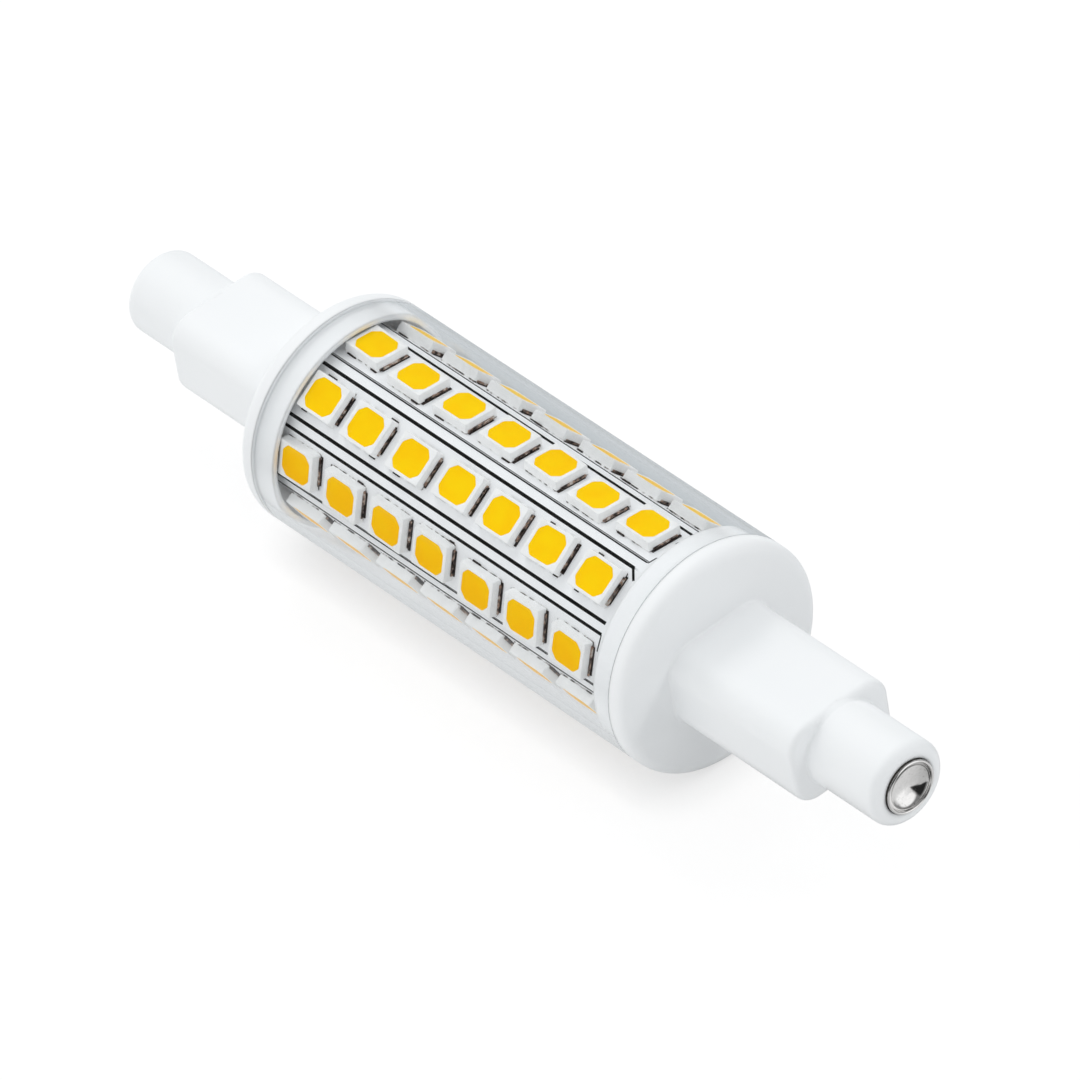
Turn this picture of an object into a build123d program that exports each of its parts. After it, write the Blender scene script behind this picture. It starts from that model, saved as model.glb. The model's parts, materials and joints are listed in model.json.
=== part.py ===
from build123d import *
import math
import os

# Double-ended linear LED lamp: a clear tube between two moulded end caps, a folded
# board of surface-mount LEDs inside it, and the driver inside the folded board.
# Millimetres. X runs along the lamp, Z is normal to the flats of the end caps' necks,
# and the origin is the middle of the lamp.

# Clear cover
COVER_LENGTH = 37.3
COVER_DIAMETER = 17.5
COVER_WALL = 0.5
COVER_EDGE_CHAMFER = 0.1

# End caps
FLANGE_THICKNESS = 1.45
FLANGE_EDGE_RADIUS = 0.8
SPIGOT_LENGTH = 1.9
SPIGOT_CLEARANCE = 0.08
POCKET_CLEARANCE = 0.08
NECK_LENGTH = 12.3
NECK_WIDTH = 8.8
NECK_HEIGHT = 6.6
NECK_CORNER_RADIUS = 1.9
NECK_END_RADIUS = 0.4
CAVITY_CORNER_RADIUS = 0.7
STUB_LENGTH = 6.6
STUB_DIAMETER = 6.4
STUB_EDGE_RADIUS = 0.7
CAP_WALL = 1.2

# Contacts
CONTACT_DIAMETER = 4.1
CONTACT_DEPTH = 2.2
CONTACT_PROUD = 0.25
CONTACT_CLEARANCE = 0.05
CONTACT_RIM = 0.13
CONTACT_RIM_CHAMFER = 0.06
BOWL_DEPTH = 1.0
STEM_DIAMETER = 1.8
TAIL_DIAMETER = 2.8
TAIL_THICKNESS = 0.5
WIRE_SOCKET_DEPTH = 2.0
WIRE_SOCKET_CLEARANCE = 0.05

# Folded LED board
ROW_COUNT = 9
ROW_PHASE = 33.9
BOARD_THICKNESS = 0.5
BOARD_SEAT_DEPTH = 1.65
BOARD_END_CLEARANCE = 0.05
FOLD_STRIP = 0.82
SCORE_WIDTH = 0.16
SCORE_DEPTH = 0.12
SCORE_MARGIN = 2.85
SEAM_GAP = 0.2
SEAM_FOLD = 4

# LED packages
LED_PITCH = 4.695
LED_FIRST_TUCK = 0.195
LED_LAST_MARGIN = 0.6
LED_COVER_CLEARANCE = 0.56
LED_LENGTH = 3.5
LED_WIDTH = 2.8
LED_HEIGHT = 0.76
LED_END_TAPER = 0.05
WINDOW_LENGTH = 2.79
WINDOW_WIDTH = 2.33
WINDOW_CORNER = 0.44
WINDOW_DEPTH = 0.3
LEAD_THICKNESS = 0.28
LEAD_END_PROUD = 0.12
LEAD_SIDE_PROUD = 0.03
LONG_LEAD_INNER = 0.3
SHORT_LEAD_INNER = 0.85

# Driver board and what it carries
DRIVER_EDGE_CLEARANCE = 0.35
DRIVER_THICKNESS = 1.0
DRIVER_SLOT_DEPTH = 0.8
DRIVER_SLOT_CLEARANCE = 0.05
WIRE_DIAMETER = 0.8
CORE_DIAMETER = 0.6
WIRE_ON_BOARD = 5.0
FUSE_LENGTH = 6.5
FUSE_DIAMETER = 2.4
SLEEVE_WALL = 0.25
SLEEVE_CLEARANCE = 0.05
SLEEVE_OVERHANG = 1.2
CAPACITOR_DIAMETER = 5.0
CAPACITOR_LENGTH = 11.0
CAPACITOR_X = -5.0
CAPACITOR_LEAD_DIAMETER = 0.5
CAPACITOR_LEAD_SPACING = 2.0
CAPACITOR_LEAD_REACH = 1.5
CHIP_STANDOFF = 0.1
CHIP_LEAD_THICKNESS = 0.2
CHIP_LEAD_WIDTH = 0.42
CHIP_LEAD_REACH = 1.0
BRIDGE_LENGTH = 4.7
BRIDGE_WIDTH = 3.9
BRIDGE_HEIGHT = 1.4
BRIDGE_LEAD_PITCH = 2.5
BRIDGE_LEADS_PER_SIDE = 2
BRIDGE_X = 7.0
DRIVER_CHIP_LENGTH = 4.9
DRIVER_CHIP_WIDTH = 3.9
DRIVER_CHIP_HEIGHT = 1.4
DRIVER_CHIP_LEAD_PITCH = 1.27
DRIVER_CHIP_LEADS_PER_SIDE = 4
DRIVER_CHIP_X = 0.0
RESISTOR_LENGTH = 3.2
RESISTOR_WIDTH = 1.6
RESISTOR_HEIGHT = 0.55
RESISTOR_X = 7.5
RESISTOR_SPACING = 3.0
FEED_WIRE_DIAMETER = 0.6
FEED_WIRE_INSET = 4.75
FEED_WIRE_SETBACK = 1.5
FEED_WIRE_CLEARANCE = 0.05

# Planes across the lamp, all on the +X side
SEAM_X = COVER_LENGTH / 2
SPIGOT_X = SEAM_X - SPIGOT_LENGTH
SEAT_X = SPIGOT_X + BOARD_SEAT_DEPTH
FACE_X = SEAM_X + FLANGE_THICKNESS
NECK_END_X = FACE_X + NECK_LENGTH
TIP_X = NECK_END_X + STUB_LENGTH
CAVITY_END_X = NECK_END_X - CAP_WALL
CUP_SEAT_X = TIP_X - CONTACT_DEPTH
RIM_X = TIP_X + CONTACT_PROUD
TAIL_X = CAVITY_END_X - TAIL_THICKNESS
BOARD_END_X = SEAT_X - BOARD_END_CLEARANCE
SCORE_END_X = BOARD_END_X - SCORE_MARGIN
DRIVER_END_X = SEAT_X + DRIVER_SLOT_DEPTH
FEED_WIRE_X = SPIGOT_X - FEED_WIRE_INSET

# Radii and heights worked out from the sizes above
COVER_BORE = COVER_DIAMETER / 2 - COVER_WALL
LED_TOP_CORNER = COVER_BORE - LED_COVER_CLEARANCE
BOARD_APOTHEM = math.sqrt(LED_TOP_CORNER**2 - (LED_WIDTH / 2) ** 2) - LED_HEIGHT
HALF_TURN_STEP = 180 / ROW_COUNT
FACET_HALF = (
    BOARD_APOTHEM * math.tan(math.radians(HALF_TURN_STEP))
    - FOLD_STRIP / 2 / math.cos(math.radians(HALF_TURN_STEP))
)
BOARD_CORNER_RADIUS = math.hypot(BOARD_APOTHEM, FACET_HALF)
POCKET_RADIUS = LED_TOP_CORNER + POCKET_CLEARANCE
BOARD_BORE = BOARD_APOTHEM - BOARD_THICKNESS
DRIVER_TOP = -WIRE_DIAMETER / 2
DRIVER_BOTTOM = DRIVER_TOP - DRIVER_THICKNESS
DRIVER_WIDTH = 2 * math.sqrt((BOARD_BORE - DRIVER_EDGE_CLEARANCE) ** 2 - DRIVER_BOTTOM**2)

# Each row starts just inside the -X spigot and takes as many LEDs as fit before the +X one
LED_REACH = LED_LENGTH / 2 + LEAD_END_PROUD
LED_FIRST_X = LED_REACH - LED_FIRST_TUCK - SPIGOT_X
LED_LAST_X = SPIGOT_X - LED_REACH - LED_LAST_MARGIN
LEDS_PER_ROW = 1 + math.floor((LED_LAST_X - LED_FIRST_X) / LED_PITCH)
LED_PLACES = [LED_FIRST_X + place * LED_PITCH for place in range(LEDS_PER_ROW)]


def along(section, start, end):
    """A section drawn in Y and Z, run along the lamp from start to end."""
    return extrude(Plane.YZ.offset(start) * section, amount=end - start)


def rod(diameter, start, end):
    return along(Circle(diameter / 2), start, end)


def block(start, end, width, bottom, top):
    """A box across the lamp's middle plane, between two places on X and two heights."""
    return along(Pos(0, (bottom + top) / 2) * Rectangle(width, top - bottom), start, end)


def row_angle(row):
    """Degrees from +Z towards -Y of a row's outward direction."""
    return ROW_PHASE + row * 2 * HALF_TURN_STEP


def clear_cover():
    tube = rod(COVER_DIAMETER, -SEAM_X, SEAM_X)
    ends = tube.edges().filter_by(GeomType.CIRCLE)
    tube = chamfer(ends, COVER_EDGE_CHAMFER)
    return tube - rod(2 * COVER_BORE, -SEAM_X, SEAM_X)


def end_cap():
    """The +X cap: spigot, flange, flat-sided neck and round stub, hollowed from inside."""
    flange = rod(COVER_DIAMETER, SEAM_X, FACE_X)
    flange = fillet(flange.edges().group_by(Axis.X)[-1], FLANGE_EDGE_RADIUS)
    spigot = rod(2 * (COVER_BORE - SPIGOT_CLEARANCE), SPIGOT_X, SEAM_X)
    neck_section = RectangleRounded(NECK_WIDTH, NECK_HEIGHT, NECK_CORNER_RADIUS)
    neck = along(neck_section, FACE_X, NECK_END_X)
    neck = fillet(neck.edges().group_by(Axis.X)[-1], NECK_END_RADIUS)
    stub = rod(STUB_DIAMETER, NECK_END_X - 2 * NECK_END_RADIUS, TIP_X)
    stub = fillet(stub.edges().group_by(Axis.X)[-1], STUB_EDGE_RADIUS)
    cap = flange + spigot + neck + stub

    cavity_section = RectangleRounded(
        NECK_WIDTH - 2 * CAP_WALL,
        NECK_HEIGHT - 2 * CAP_WALL,
        CAVITY_CORNER_RADIUS,
    )
    slot = block(
        SEAT_X,
        DRIVER_END_X + DRIVER_SLOT_CLEARANCE,
        DRIVER_WIDTH + 2 * DRIVER_SLOT_CLEARANCE,
        DRIVER_BOTTOM - DRIVER_SLOT_CLEARANCE,
        DRIVER_TOP + DRIVER_SLOT_CLEARANCE,
    )
    cap -= rod(2 * POCKET_RADIUS, SPIGOT_X, SEAT_X)
    cap -= along(cavity_section, SEAT_X, CAVITY_END_X)
    cap -= slot
    cap -= rod(STEM_DIAMETER + 2 * CONTACT_CLEARANCE, CAVITY_END_X, CUP_SEAT_X)
    cap -= rod(CONTACT_DIAMETER + 2 * CONTACT_CLEARANCE, CUP_SEAT_X, TIP_X)
    return cap


def contact():
    """The +X contact: a cup with a hollow face, riveted through the cap by its stem."""
    cup = rod(CONTACT_DIAMETER, CUP_SEAT_X, RIM_X)
    cup = chamfer(cup.edges().group_by(Axis.X)[-1], CONTACT_RIM_CHAMFER)
    bowl_radius = CONTACT_DIAMETER / 2 - CONTACT_RIM
    ball_radius = (bowl_radius**2 + BOWL_DEPTH**2) / (2 * BOWL_DEPTH)
    ball = Pos(RIM_X - BOWL_DEPTH + ball_radius, 0, 0) * Rot(0, 90, 0) * Sphere(ball_radius)
    stem = rod(STEM_DIAMETER, TAIL_X, CUP_SEAT_X)
    tail = rod(TAIL_DIAMETER, TAIL_X, CAVITY_END_X)
    socket_diameter = CORE_DIAMETER + 2 * WIRE_SOCKET_CLEARANCE
    socket = rod(socket_diameter, TAIL_X, TAIL_X + WIRE_SOCKET_DEPTH)
    return cup - ball + stem + tail - socket


def board_outline(apothem, half_flat, scored):
    """Closed outline of the folded board, with a V score at each bend if scored."""
    corners = []
    for row in range(ROW_COUNT):
        turn = math.radians(row_angle(row))
        outward = Vector(-math.sin(turn), math.cos(turn))
        sideways = Vector(-math.cos(turn), -math.sin(turn))
        corners.append(outward * apothem - sideways * half_flat)
        corners.append(outward * apothem + sideways * half_flat)
    if not scored:
        return make_face(Polyline(*corners, close=True))
    points = []
    for index, corner in enumerate(corners):
        before = (corners[index - 1] - corner).normalized()
        after = (corners[(index + 1) % len(corners)] - corner).normalized()
        points.append(corner + before * SCORE_WIDTH / 2)
        points.append(corner - corner.normalized() * SCORE_DEPTH)
        points.append(corner + after * SCORE_WIDTH / 2)
    return make_face(Polyline(*points, close=True))


def led_board():
    """One sheet folded round the lamp, scored at each bend and open at its closing seam."""
    inner_half = FACET_HALF - BOARD_THICKNESS * math.tan(math.radians(HALF_TURN_STEP / 2))
    scored = along(board_outline(BOARD_APOTHEM, FACET_HALF, True), -BOARD_END_X, SCORE_END_X)
    plain = along(board_outline(BOARD_APOTHEM, FACET_HALF, False), SCORE_END_X, BOARD_END_X)
    hollow = along(board_outline(BOARD_BORE, inner_half, False), -BOARD_END_X, BOARD_END_X)
    seam = block(-BOARD_END_X, BOARD_END_X, SEAM_GAP, 0, BOARD_CORNER_RADIUS)
    seam = Rot(row_angle(SEAM_FOLD) + HALF_TURN_STEP, 0, 0) * seam
    return scored + plain - hollow - seam


def window_section():
    """The light window's outline: a rectangle with cut corners."""
    window = Rectangle(WINDOW_LENGTH, WINDOW_WIDTH)
    return chamfer(window.vertices(), WINDOW_CORNER)


def led_package():
    """White body on the board at Z = 0: end notches for the leads and a window pocket."""
    half = LED_LENGTH / 2
    side = Polyline(
        (-LONG_LEAD_INNER, 0),
        (SHORT_LEAD_INNER, 0),
        (SHORT_LEAD_INNER, LEAD_THICKNESS),
        (half, LEAD_THICKNESS),
        (half - LED_END_TAPER, LED_HEIGHT),
        (LED_END_TAPER - half, LED_HEIGHT),
        (-half, LEAD_THICKNESS),
        (-LONG_LEAD_INNER, LEAD_THICKNESS),
        close=True,
    )
    body = extrude(Plane.XZ * make_face(side), amount=LED_WIDTH / 2, both=True)
    floor = Plane.XY.offset(LED_HEIGHT - WINDOW_DEPTH)
    return body - extrude(floor * window_section(), amount=WINDOW_DEPTH)


def led_window():
    """The phosphor-filled window, level with the top of its package."""
    floor = Plane.XY.offset(LED_HEIGHT - WINDOW_DEPTH)
    return extrude(floor * window_section(), amount=WINDOW_DEPTH)


def led_leads():
    """The two lead plates under one package: the long one at -X, the short one at +X."""
    width = LED_WIDTH + 2 * LEAD_SIDE_PROUD
    spans = [(-LED_REACH, -LONG_LEAD_INNER), (SHORT_LEAD_INNER, LED_REACH)]
    return [block(start, end, width, 0, LEAD_THICKNESS) for start, end in spans]


def on_row(row, pieces):
    """Copies of the pieces at each LED place of a row, standing on the board's facet."""
    turn = Rot(row_angle(row), 0, 0)
    return [turn * Pos(x, 0, BOARD_APOTHEM) * piece for x in LED_PLACES for piece in pieces]


def driver_board():
    return block(-DRIVER_END_X, DRIVER_END_X, DRIVER_WIDTH, DRIVER_BOTTOM, DRIVER_TOP)


def lead_wire():
    """Plain wire from the +X contact's socket to the top of the driver board."""
    core = rod(CORE_DIAMETER, TAIL_X - WIRE_DIAMETER, TAIL_X + WIRE_SOCKET_DEPTH)
    return rod(WIRE_DIAMETER, DRIVER_END_X - WIRE_ON_BOARD, TAIL_X - WIRE_DIAMETER) + core


def fuse_span():
    """Where the fuse resistor's body starts and ends on X, in the middle of the -X neck."""
    middle = -(TAIL_X + DRIVER_END_X) / 2
    return middle - FUSE_LENGTH / 2, middle + FUSE_LENGTH / 2


def fuse_resistor():
    """Axial resistor between the -X contact's socket and the driver board."""
    leads = rod(CORE_DIAMETER, -TAIL_X - WIRE_SOCKET_DEPTH, WIRE_ON_BOARD - DRIVER_END_X)
    return rod(FUSE_DIAMETER, *fuse_span()) + leads


def fuse_sleeve():
    """Insulating sleeve over the fuse resistor."""
    start, end = fuse_span()
    bore = FUSE_DIAMETER + 2 * SLEEVE_CLEARANCE
    tube = rod(bore + 2 * SLEEVE_WALL, start - SLEEVE_OVERHANG, end + SLEEVE_OVERHANG)
    return tube - rod(bore, start - SLEEVE_OVERHANG, end + SLEEVE_OVERHANG)


def smoothing_capacitor():
    """Aluminium can lying along the driver board."""
    can = rod(CAPACITOR_DIAMETER, CAPACITOR_X - CAPACITOR_LENGTH / 2, CAPACITOR_X + CAPACITOR_LENGTH / 2)
    return Pos(0, 0, DRIVER_TOP + CAPACITOR_DIAMETER / 2) * can


def capacitor_leads():
    """Two wires from the can's end, bent down on to the driver board."""
    height = CAPACITOR_DIAMETER / 2
    start = CAPACITOR_X + CAPACITOR_LENGTH / 2
    route = Polyline(
        (start, 0, height),
        (start + CAPACITOR_LEAD_REACH, 0, height),
        (start + CAPACITOR_LEAD_REACH, 0, 0),
    )
    section = Plane(route @ 0, z_dir=(1, 0, 0)) * Circle(CAPACITOR_LEAD_DIAMETER / 2)
    lead = sweep(section, path=route, transition=Transition.RIGHT)
    sides = [-CAPACITOR_LEAD_SPACING / 2, CAPACITOR_LEAD_SPACING / 2]
    return [Pos(0, y, DRIVER_TOP) * lead for y in sides]


def chip(length, width, height, lead_pitch, leads_per_side):
    """A chip's body and its gull-wing leads, standing on a board at Z = 0."""
    body = block(-length / 2, length / 2, width, CHIP_STANDOFF, CHIP_STANDOFF + height)
    knee = width / 2 + CHIP_LEAD_REACH / 2
    middle = CHIP_STANDOFF + height / 2
    bend = Polyline(
        (width / 2, middle),
        (knee, middle),
        (knee, CHIP_LEAD_THICKNESS),
        (width / 2 + CHIP_LEAD_REACH, CHIP_LEAD_THICKNESS),
        (width / 2 + CHIP_LEAD_REACH, 0),
        (knee - CHIP_LEAD_THICKNESS, 0),
        (knee - CHIP_LEAD_THICKNESS, middle - CHIP_LEAD_THICKNESS),
        (width / 2, middle - CHIP_LEAD_THICKNESS),
        close=True,
    )
    lead = along(make_face(bend), -CHIP_LEAD_WIDTH / 2, CHIP_LEAD_WIDTH / 2)
    places = [(place - (leads_per_side - 1) / 2) * lead_pitch for place in range(leads_per_side)]
    near = [Pos(x, 0, 0) * lead for x in places]
    far = [Rot(0, 0, 180) * piece for piece in near]
    return body, near + far


def sense_resistors():
    """Two flat resistors under the driver board."""
    body = block(
        -RESISTOR_WIDTH / 2,
        RESISTOR_WIDTH / 2,
        RESISTOR_LENGTH,
        DRIVER_BOTTOM - RESISTOR_HEIGHT,
        DRIVER_BOTTOM,
    )
    return [Pos(x, 0, 0) * body for x in (RESISTOR_X, RESISTOR_X + RESISTOR_SPACING)]


def feed_wire(side):
    """Straight wire from the driver board's top to the inside of the folded board."""
    middle = DRIVER_WIDTH / 2 - FEED_WIRE_SETBACK
    reach = middle + FEED_WIRE_DIAMETER / 2
    top = math.sqrt(BOARD_BORE**2 - reach**2) - FEED_WIRE_CLEARANCE
    foot = Plane.XY.offset(DRIVER_TOP) * Pos(FEED_WIRE_X, side * middle)
    return extrude(foot * Circle(FEED_WIRE_DIAMETER / 2), amount=top - DRIVER_TOP)


def mirrored(piece):
    return mirror(piece, about=Plane.YZ)


def all_nodes():
    """Every node's solids by name."""
    cap = end_cap()
    cup = contact()
    nodes = {
        "clear_cover": [clear_cover()],
        "end_cap_left": [mirrored(cap)],
        "end_cap_right": [cap],
        "contact_left": [mirrored(cup)],
        "contact_right": [cup],
        "led_board": [led_board()],
    }
    package = led_package()
    window = led_window()
    leads = led_leads()
    for row in range(ROW_COUNT):
        nodes[f"led_packages_row_{row + 1}"] = on_row(row, [package])
        nodes[f"led_windows_row_{row + 1}"] = on_row(row, [window])
        nodes[f"led_leads_row_{row + 1}"] = on_row(row, leads)
    bridge, bridge_leads = chip(
        BRIDGE_LENGTH,
        BRIDGE_WIDTH,
        BRIDGE_HEIGHT,
        BRIDGE_LEAD_PITCH,
        BRIDGE_LEADS_PER_SIDE,
    )
    driver, driver_leads = chip(
        DRIVER_CHIP_LENGTH,
        DRIVER_CHIP_WIDTH,
        DRIVER_CHIP_HEIGHT,
        DRIVER_CHIP_LEAD_PITCH,
        DRIVER_CHIP_LEADS_PER_SIDE,
    )
    on_top = Pos(BRIDGE_X, 0, DRIVER_TOP)
    underneath = Pos(DRIVER_CHIP_X, 0, DRIVER_BOTTOM) * Rot(180, 0, 0)
    nodes["driver_board"] = [driver_board()]
    nodes["lead_wire"] = [lead_wire()]
    nodes["fuse_resistor"] = [fuse_resistor()]
    nodes["fuse_sleeve"] = [fuse_sleeve()]
    nodes["smoothing_capacitor"] = [smoothing_capacitor()]
    nodes["capacitor_leads"] = capacitor_leads()
    nodes["bridge_rectifier"] = [on_top * bridge]
    nodes["bridge_rectifier_leads"] = [on_top * lead for lead in bridge_leads]
    nodes["driver_chip"] = [underneath * driver]
    nodes["driver_chip_leads"] = [underneath * lead for lead in driver_leads]
    nodes["sense_resistors"] = sense_resistors()
    nodes["feed_wire_positive"] = [feed_wire(1)]
    nodes["feed_wire_negative"] = [feed_wire(-1)]
    return nodes


os.makedirs("parts", exist_ok=True)
for name, pieces in all_nodes().items():
    solids = [solid for piece in pieces for solid in piece.solids()]
    shape = solids[0] if len(solids) == 1 else Compound(children=solids)
    export_step(shape, f"parts/{name}.step")
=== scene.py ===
import json
import math
import random

import bmesh
import bpy
from mathutils import Matrix, Vector

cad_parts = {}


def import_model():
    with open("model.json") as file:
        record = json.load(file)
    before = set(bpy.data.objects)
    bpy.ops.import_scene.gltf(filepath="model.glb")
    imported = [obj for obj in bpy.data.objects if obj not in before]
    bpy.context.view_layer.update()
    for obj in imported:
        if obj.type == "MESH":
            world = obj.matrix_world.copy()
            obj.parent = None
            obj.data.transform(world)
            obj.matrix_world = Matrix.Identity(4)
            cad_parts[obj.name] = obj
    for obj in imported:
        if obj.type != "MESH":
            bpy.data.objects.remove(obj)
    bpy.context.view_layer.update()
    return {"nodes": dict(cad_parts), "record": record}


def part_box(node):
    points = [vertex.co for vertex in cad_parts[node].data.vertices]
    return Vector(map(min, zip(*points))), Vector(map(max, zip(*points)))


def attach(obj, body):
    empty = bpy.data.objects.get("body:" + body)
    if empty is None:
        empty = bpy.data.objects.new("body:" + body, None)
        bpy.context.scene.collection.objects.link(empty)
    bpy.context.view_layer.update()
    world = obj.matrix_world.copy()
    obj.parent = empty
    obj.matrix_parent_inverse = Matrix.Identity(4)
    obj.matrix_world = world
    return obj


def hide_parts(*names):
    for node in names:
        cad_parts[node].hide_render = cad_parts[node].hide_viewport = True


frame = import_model()

# Sizes of the lamp are written in millimetres and turned into metres by MM
MM = 0.001

# Camera: the photograph's view, as a place and three directions in the part's frame
CAMERA_PLACE = Vector((619.18, -425.78, 655.53)) * MM
CAMERA_RIGHT = Vector((0.6534, 0.7455, -0.1315))
CAMERA_UP = Vector((-0.4343, 0.5114, 0.7415))
CAMERA_BACK = Vector((0.6200, -0.4274, 0.6580))
CAMERA_REACH = 10.0
SENSOR_WIDTH = 36.0
FOCAL_LENGTH = 488.4

# Meshes
SMOOTH_ANGLE = 35.0
CORNER_STEPS = 8


def link(piece):
    """Puts an object into the scene."""
    bpy.context.scene.collection.objects.link(piece)
    return piece


def mesh_piece(name, build, material):
    """A new mesh object, filled in millimetres by build(bm) and turned to metres."""
    bm = bmesh.new()
    build(bm)
    bmesh.ops.recalc_face_normals(bm, faces=bm.faces)
    bmesh.ops.scale(bm, vec=(MM, MM, MM), verts=bm.verts)
    mesh = bpy.data.meshes.new(name)
    bm.to_mesh(mesh)
    bm.free()
    mesh.shade_smooth()
    mesh.set_sharp_from_angle(angle=math.radians(SMOOTH_ANGLE))
    mesh.materials.append(material)
    return link(bpy.data.objects.new(name, mesh))


def second_material(piece, material, chosen):
    """Gives another material to the faces that chosen(face) picks."""
    piece.data.materials.append(material)
    for face in piece.data.polygons:
        if chosen(face):
            face.material_index = 1


def stands_for(piece, slot, *nodes):
    """A new piece that rides with the lamp and shows in place of CAD nodes."""
    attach(piece, "root")
    if nodes:
        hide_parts(*nodes)
    return piece


def add_ring(bm, points, place=Matrix.Identity(4)):
    """New vertices at points, moved to their place."""
    return [bm.verts.new(place @ Vector(point)) for point in points]


def bridge(bm, lower, upper):
    """Quads between two rings of the same number of points."""
    count = len(lower)
    for i in range(count):
        j = (i + 1) % count
        bm.faces.new((lower[i], lower[j], upper[j], upper[i]))


def loft(bm, rings, place=Matrix.Identity(4)):
    """A skin through rings of points, closed at both ends."""
    loops = [add_ring(bm, ring, place) for ring in rings]
    for lower, upper in zip(loops, loops[1:]):
        bridge(bm, lower, upper)
    bm.faces.new(loops[0][::-1])
    bm.faces.new(loops[-1])


def hoop(bm, rings, place=Matrix.Identity(4)):
    """A ring-shaped skin: each ring of points is joined to the next, and the last to the first."""
    loops = [add_ring(bm, ring, place) for ring in rings]
    for lower, upper in zip(loops, loops[1:] + loops[:1]):
        bridge(bm, lower, upper)


def lathe(bm, profile, segments, closed=False):
    """Turns a profile of (x, radius) points about the X axis; radius 0 ends it in a point."""
    turns = [2 * math.pi * i / segments for i in range(segments)]
    loops = []
    for x, radius in profile:
        if radius == 0:
            loops.append(add_ring(bm, [(x, 0, 0)]) * segments)
            continue
        ring = [(x, radius * math.cos(turn), radius * math.sin(turn)) for turn in turns]
        loops.append(add_ring(bm, ring))
    if closed:
        loops.append(loops[0])
    for lower, upper in zip(loops, loops[1:]):
        for i in range(segments):
            j = (i + 1) % segments
            corners = dict.fromkeys((lower[i], lower[j], upper[j], upper[i]))
            bm.faces.new(tuple(corners))


def rounded_ring(length, width, corner, height, steps=CORNER_STEPS):
    """A rounded rectangle about the origin at a height, as a ring of points."""
    points = []
    for quarter, (sx, sy) in enumerate(((1, 1), (-1, 1), (-1, -1), (1, -1))):
        centre_x = sx * (length / 2 - corner)
        centre_y = sy * (width / 2 - corner)
        for step in range(steps):
            turn = math.pi / 2 * (quarter + step / (steps - 1))
            x = centre_x + corner * math.cos(turn)
            y = centre_y + corner * math.sin(turn)
            points.append((x, y, height))
    return points


def cut_ring(length, width, cut, rounding, height):
    """A rectangle with its corners cut off at 45 degrees and rounded, as a ring of points."""
    points = []
    half = CORNER_STEPS // 2
    tangent = rounding * math.tan(math.pi / 8)
    for quarter in range(4):
        turn_back = Matrix.Rotation(math.pi / 2 * quarter, 3, "Z")
        long, wide = (length, width) if quarter % 2 == 0 else (width, length)
        centres = (
            (long / 2 - rounding, wide / 2 - cut - tangent),
            (long / 2 - cut - tangent, wide / 2 - rounding),
        )
        for part, (x, y) in enumerate(centres):
            for step in range(half):
                turn = math.pi / 4 * (part + step / (half - 1))
                corner = Vector((x + rounding * math.cos(turn), y + rounding * math.sin(turn), height))
                points.append(turn_back @ corner)
    return points


# Shader nodes
BEVEL_SAMPLES = 6
SHADOW_SAMPLES = 8


def new_material(name):
    """A material with a Principled shader, its node tree and its object coordinates."""
    material = bpy.data.materials.new(name)
    material.use_nodes = True
    tree = material.node_tree
    shader = tree.nodes["Principled BSDF"]
    coords = tree.nodes.new("ShaderNodeTexCoord").outputs["Object"]
    return material, tree, shader, coords


def feed(tree, value, socket):
    """Links a socket to another, or sets a number or a colour on it."""
    if isinstance(value, bpy.types.NodeSocket):
        tree.links.new(value, socket)
    elif socket.type == "RGBA":
        socket.default_value = (*value, 1.0)
    else:
        socket.default_value = value


def noise(tree, coords, feature, detail=3.0, stretch=(1, 1, 1)):
    """Noise whose features are about so many millimetres across, from 0 to 1."""
    mapping = tree.nodes.new("ShaderNodeMapping")
    mapping.inputs["Scale"].default_value = stretch
    tree.links.new(coords, mapping.inputs["Vector"])
    node = tree.nodes.new("ShaderNodeTexNoise")
    node.inputs["Scale"].default_value = 1 / (feature * MM)
    node.inputs["Detail"].default_value = detail
    tree.links.new(mapping.outputs["Vector"], node.inputs["Vector"])
    return node.outputs["Fac"]


def ramp(tree, value, stops):
    """Colours by a value, from (place, colour) stops."""
    node = tree.nodes.new("ShaderNodeValToRGB")
    elements = node.color_ramp.elements
    while len(elements) < len(stops):
        elements.new(0.5)
    for element, (place, colour) in zip(elements, stops):
        element.position = place
        element.color = (*colour, 1.0)
    tree.links.new(value, node.inputs["Fac"])
    return node.outputs["Color"]


def spread(tree, value, low, high):
    """A value from 0 to 1 spread between two numbers."""
    node = tree.nodes.new("ShaderNodeMapRange")
    node.inputs["To Min"].default_value = low
    node.inputs["To Max"].default_value = high
    tree.links.new(value, node.inputs["Value"])
    return node.outputs["Result"]


def between(tree, value, start, end, low=0.0, high=1.0):
    """low up to start, high from end on, and a smooth change from one to the other."""
    node = tree.nodes.new("ShaderNodeMapRange")
    node.interpolation_type = "SMOOTHSTEP"
    node.inputs["From Min"].default_value = start
    node.inputs["From Max"].default_value = end
    node.inputs["To Min"].default_value = low
    node.inputs["To Max"].default_value = high
    tree.links.new(value, node.inputs["Value"])
    return node.outputs["Result"]


def blend(tree, factor, low, high):
    """low where the factor is 0 and high where it is 1; each a number or a socket."""
    node = tree.nodes.new("ShaderNodeMix")
    tree.links.new(factor, node.inputs[0])
    feed(tree, low, node.inputs[2])
    feed(tree, high, node.inputs[3])
    return node.outputs[0]


def tint(tree, factor, low, high):
    """Like blend, for colours."""
    node = tree.nodes.new("ShaderNodeMix")
    node.data_type = "RGBA"
    tree.links.new(factor, node.inputs[0])
    feed(tree, low, node.inputs[6])
    feed(tree, high, node.inputs[7])
    return node.outputs[2]


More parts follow.
